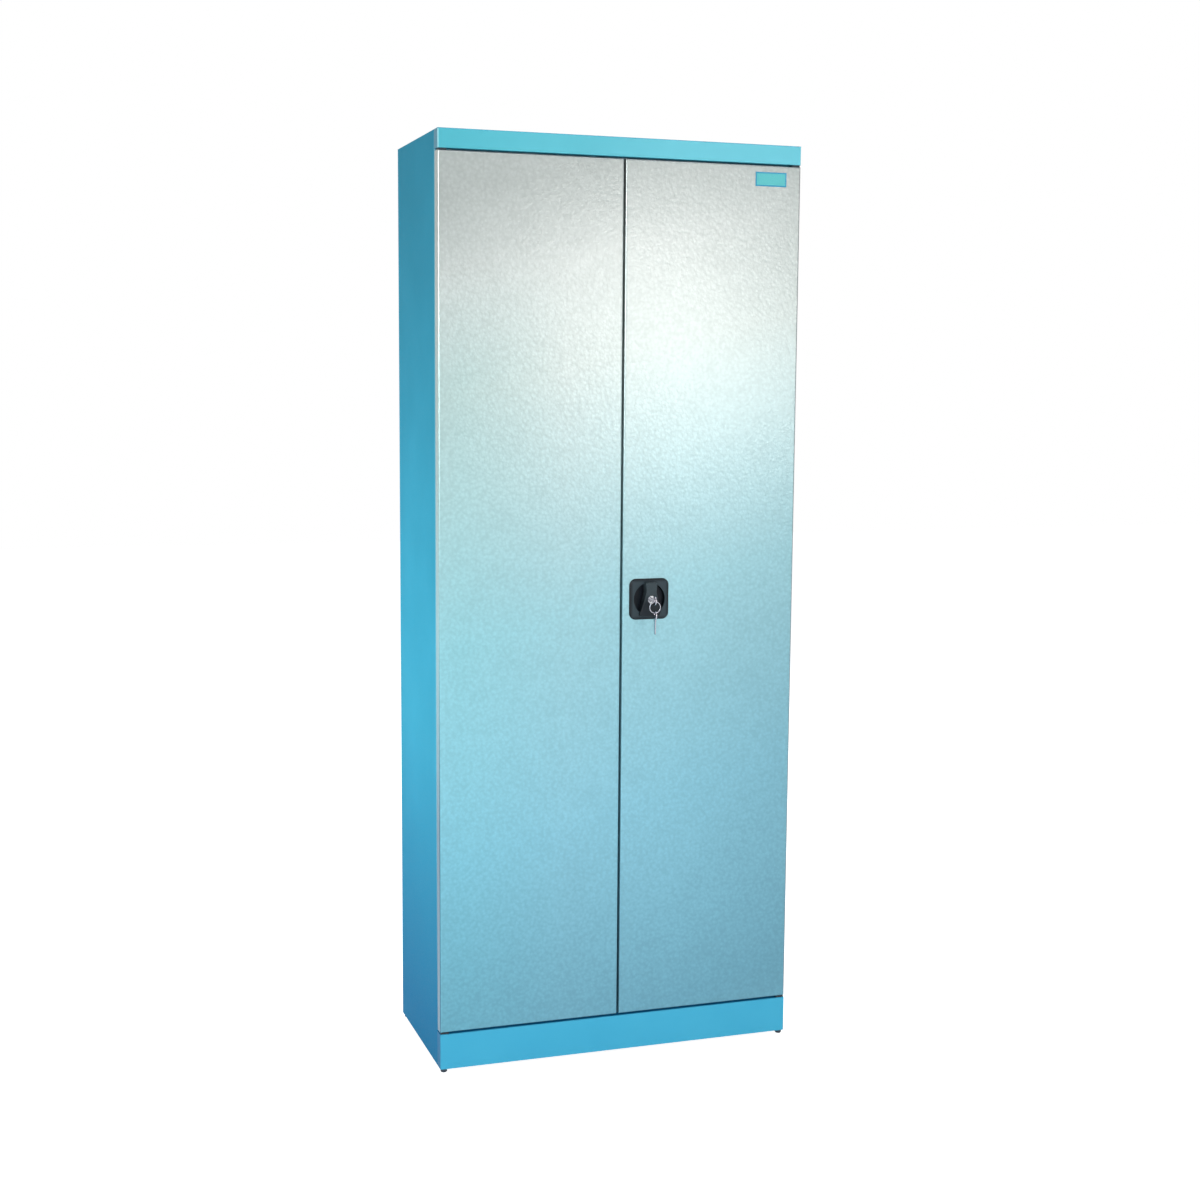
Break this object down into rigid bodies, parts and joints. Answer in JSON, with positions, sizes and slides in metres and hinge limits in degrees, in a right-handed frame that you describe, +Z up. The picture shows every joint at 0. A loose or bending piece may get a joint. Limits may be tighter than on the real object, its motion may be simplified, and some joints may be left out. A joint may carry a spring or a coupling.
{
  "type": "tool cabinet",
  "caption": "tall sheet steel tool cabinet with hammertone doors, a turning lock grip in a round dish, locking rods and shelves on slotted uprights",
  "frame": {"origin": "on the floor, in the middle of the width and of the whole depth, keys included", "axes": "+X to the right of someone facing the doors, +Y to the back, +Z up"},
  "size_m": [0.77, 0.408, 1.9],
  "materials": {
    "carcass_paint": "cyan blue powder coat, fine orange peel",
    "inner_paint": "light grey powder coat",
    "door_paint": "silver hammertone powder coat",
    "door_inner_paint": "silver hammertone powder coat, inside of the doors",
    "zinc_steel": "bright zinc plate",
    "black_glide": "moulded black polyethylene",
    "black_rubber": "matt black rubber",
    "black_nylon": "black nylon",
    "black_plastic": "satin black nylon with a fine grain",
    "chrome_plate": "chrome plated zinc",
    "nickel_key": "nickel plated steel"
  },
  "bodies": {
    "carcass": {"left_side_panel": "carcass_paint", "right_side_panel": "carcass_paint", "roof_panel": "carcass_paint", "header_band": "carcass_paint", "plinth": "carcass_paint", "upper_door_stop": "inner_paint", "lower_door_stop": "inner_paint", "floor_panel": "inner_paint", "floor_rail": "inner_paint", "back_panel": "carcass_paint", "upright_left_front": "inner_paint", "upright_left_rear": "inner_paint", "upright_right_front": "inner_paint", "upright_right_rear": "inner_paint", "shelf_1": "inner_paint", "shelf_2": "inner_paint", "shelf_3": "inner_paint", "shelf_4": "inner_paint", "shelf_1_clips": "zinc_steel", "shelf_2_clips": "zinc_steel", "shelf_3_clips": "zinc_steel", "shelf_4_clips": "zinc_steel", "glide_left_front": "black_glide", "glide_left_rear": "black_glide", "glide_right_front": "black_glide", "glide_right_rear": "black_glide", "corner_plate_left_front": "inner_paint", "corner_plate_left_rear": "inner_paint", "corner_plate_right_front": "inner_paint", "corner_plate_right_rear": "inner_paint", "pivot_pins": "zinc_steel", "door_buffers": "black_rubber"},
    "left_door": {"left_door_panel": "door_paint", "left_door_stiffener": "door_inner_paint", "left_door_bushes": "black_nylon", "bolt_guides": "zinc_steel"},
    "right_door": {"right_door_panel": "door_paint", "right_door_stiffener": "door_inner_paint", "right_door_bushes": "black_nylon", "rod_guides": "zinc_steel", "lock_housing": "black_plastic", "lock_retainer": "zinc_steel"},
    "upper_bolt": {"left_upper_bolt": "zinc_steel"},
    "lower_bolt": {"left_lower_bolt": "zinc_steel"},
    "handle": {"turn_handle": "black_plastic", "lock_spindle": "zinc_steel", "cam_plate": "zinc_steel", "lock_barrel": "chrome_plate"},
    "upper_lock_rod": {"upper_rod": "zinc_steel"},
    "lower_lock_rod": {"lower_rod": "zinc_steel"},
    "plug": {"key_plug": "chrome_plate"},
    "key": {"door_key": "nickel_key"},
    "ring": {"key_ring": "nickel_key"},
    "second_key": {"spare_key": "nickel_key"}
  },
  "joints": [
    {"name": "left_door_hinge", "type": "hinge", "parent": "carcass", "child": "left_door", "pos_m": [-0.375, -0.146, 0.972], "axis": [0, 0, -1], "range_deg": [0, 110]},
    {"name": "right_door_hinge", "type": "hinge", "parent": "carcass", "child": "right_door", "pos_m": [0.375, -0.146, 0.972], "axis": [0, 0, 1], "range_deg": [0, 110]},
    {"name": "left_upper_bolt_slide", "type": "slide", "parent": "left_door", "child": "upper_bolt", "axis": [0, 0, 1], "range_m": [0, 0.022]},
    {"name": "left_lower_bolt_slide", "type": "slide", "parent": "left_door", "child": "lower_bolt", "axis": [0, 0, -1], "range_m": [0, 0.022]},
    {"name": "handle_turn", "type": "hinge", "parent": "right_door", "child": "handle", "pos_m": [0.0597, -0.156, 0.9695], "axis": [0, -1, 0], "range_deg": [0, 90]},
    {"name": "upper_rod_slide", "type": "slide", "parent": "right_door", "child": "upper_lock_rod", "axis": [0, 0, 1], "range_m": [0, 0.02848]},
    {"name": "lower_rod_slide", "type": "slide", "parent": "right_door", "child": "lower_lock_rod", "axis": [0, 0, -1], "range_m": [0, 0.02848]},
    {"name": "plug_turn", "type": "hinge", "parent": "handle", "child": "plug", "pos_m": [0.0597, -0.156, 0.9695], "axis": [0, -1, 0], "range_deg": [0, 90]},
    {"name": "key_pull", "type": "slide", "parent": "plug", "child": "key", "axis": [0, -1, 0], "range_m": [0, 0.03]},
    {"name": "ring_swing", "type": "hinge", "parent": "key", "child": "ring", "pos_m": [0.0597, -0.1945, 0.9695], "axis": [-1, 0, 0], "range_deg": [-8, 60]},
    {"name": "spare_key_swing", "type": "hinge", "parent": "ring", "child": "second_key", "pos_m": [0.0597, -0.1945, 0.9425], "axis": [-1, 0, 0], "range_deg": [-10, 60]}
  ],
  "couplings": [
    {"joint": "upper_rod_slide", "follows": "handle_turn", "m_per_rad": 0.018006},
    {"joint": "lower_rod_slide", "follows": "handle_turn", "m_per_rad": 0.018006}
  ]
}
